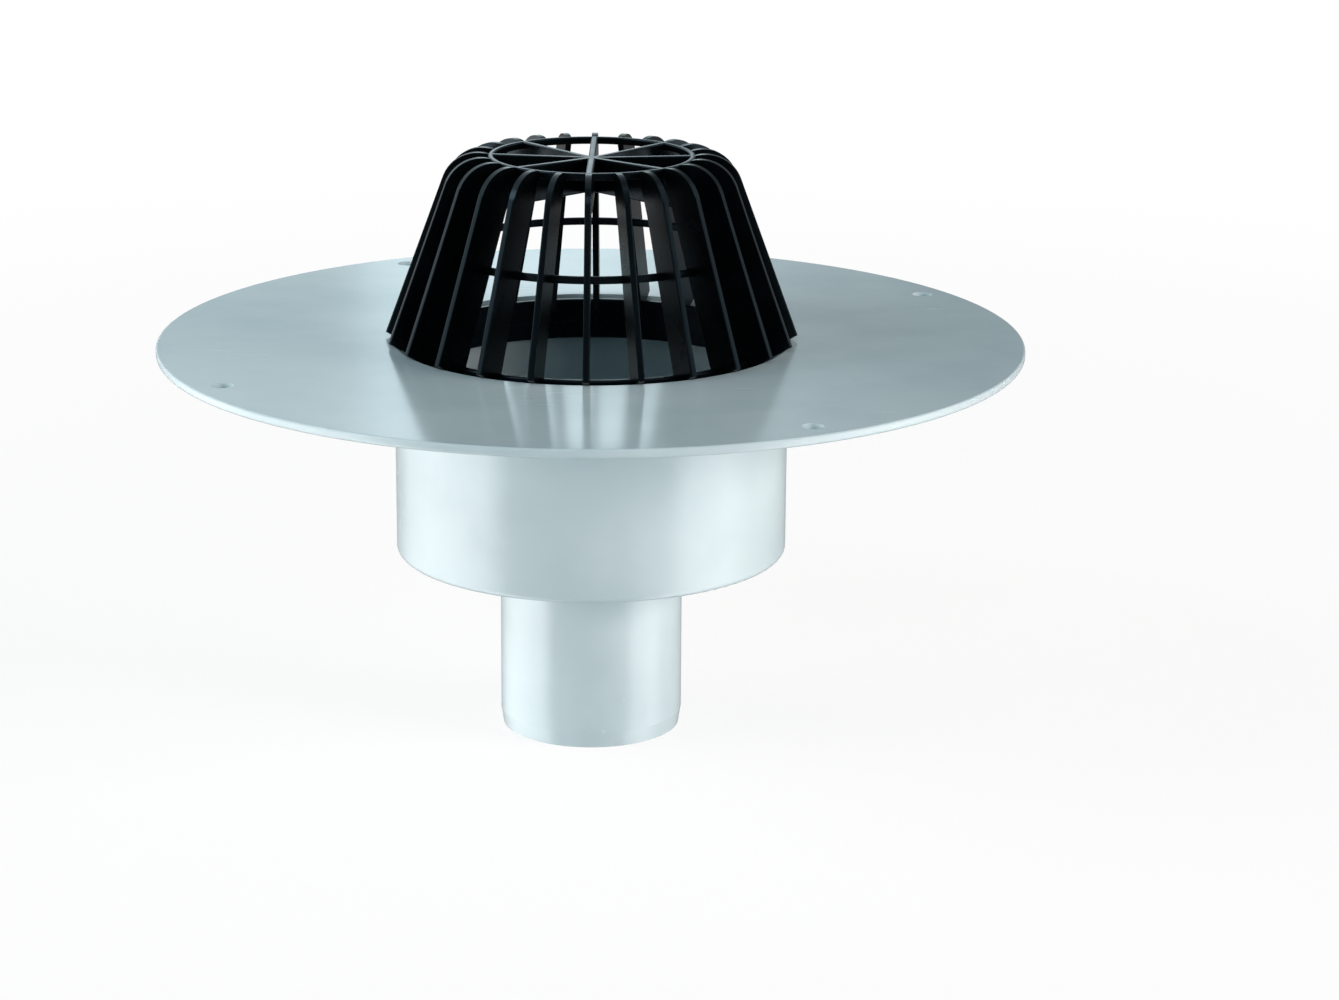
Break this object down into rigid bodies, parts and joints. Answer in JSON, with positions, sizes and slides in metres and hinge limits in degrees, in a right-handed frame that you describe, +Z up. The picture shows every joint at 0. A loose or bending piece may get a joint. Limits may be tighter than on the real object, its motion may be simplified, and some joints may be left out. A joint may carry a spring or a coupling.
{
  "type": "roof drain",
  "caption": "Flat roof drain with a round deck flange, a wide sump, a narrower spigot below, and a domed leaf guard of radial ribs standing in its mouth.",
  "frame": {"origin": "middle of the spigot's lower end, on the surface that the drain stands on", "axes": "+Z up along the drain's axis, from the spigot to the leaf guard; a rib of the guard points along -Y"},
  "size_m": [0.3509, 0.351, 0.2392],
  "materials": {
    "outlet_pvc": "pale cool grey moulded PVC with a soft gloss",
    "guard_plastic": "near black moulded plastic with a satin gloss"
  },
  "bodies": {
    "root": {"outlet_body": "outlet_pvc", "leaf_guard": "guard_plastic"}
  },
  "joints": []
}
